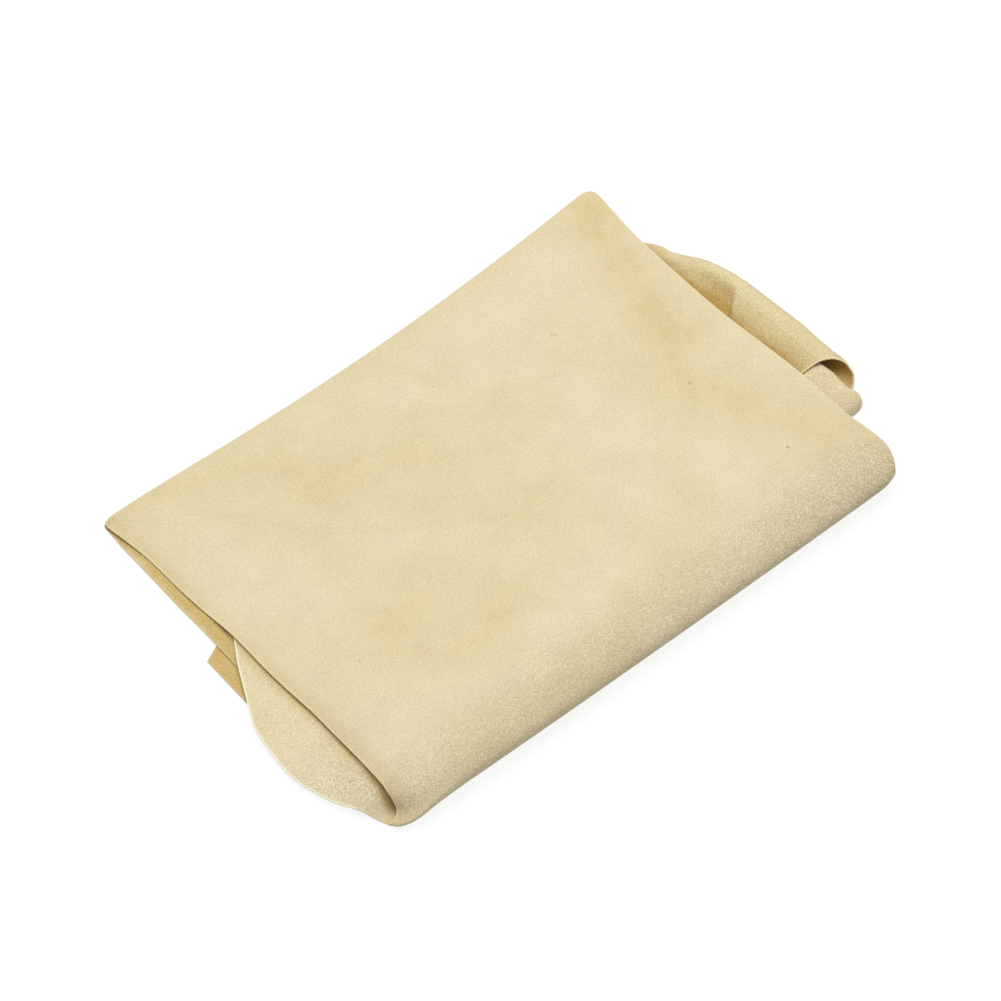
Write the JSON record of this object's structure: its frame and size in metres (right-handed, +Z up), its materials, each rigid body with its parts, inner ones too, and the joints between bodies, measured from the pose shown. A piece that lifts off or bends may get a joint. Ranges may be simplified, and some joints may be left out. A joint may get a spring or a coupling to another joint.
{
  "type": "folded chamois leather",
  "caption": "Folded chamois leather: a soft natural-outline hide with a rolled front fold, a creased back, an inner tongue and a turned-over side flap that unfold.",
  "frame": {"origin": "centre of the nominal folded pack, on the plane it lies on", "axes": "+X along the folds towards the side flap, +Y from the front roll to the back crease, +Z up"},
  "size_m": [0.3111, 0.2042, 0.019],
  "materials": {
    "outer_side": "matte suede nap, pale cream buff",
    "inner_side": "matte coarser suede nap, pale cream",
    "lower_layers": "matte suede nap, deeper buff"
  },
  "bodies": {
    "base": {"tail_leaf": "lower_layers", "tuck_fold": "lower_layers", "bottom_leaf": "lower_layers", "back_crease_lower": "lower_layers", "side_margin": "lower_layers", "side_fold_lower": "lower_layers"},
    "top": {"back_crease_upper": "outer_side", "top_panel": "outer_side", "front_roll_upper": "outer_side"},
    "inner": {"front_roll_lower": "inner_side", "inner_leaf": "inner_side", "tongue": "inner_side"},
    "flap": {"side_fold_upper": "outer_side", "side_flap": "outer_side"}
  },
  "joints": [
    {"name": "back_fold", "type": "hinge", "parent": "base", "child": "top", "pos_m": [0, 0.1015, 0.00225], "axis": [-0.9999, -0.0108, 0], "range_deg": [0, 174]},
    {"name": "front_fold", "type": "hinge", "parent": "top", "child": "inner", "pos_m": [0, -0.1003, 0.0105], "axis": [-0.9999, 0.0119, 0], "range_deg": [0, 105]},
    {"name": "side_fold", "type": "hinge", "parent": "base", "child": "flap", "pos_m": [0.15625, 0, 0.0053], "axis": [-0.0896, 0.996, 0], "range_deg": [0, 175]}
  ],
  "couplings": [
    {"joint": "front_fold", "follows": "back_fold", "ratio": 0.6},
    {"joint": "side_fold", "follows": "back_fold", "ratio": 1}
  ]
}
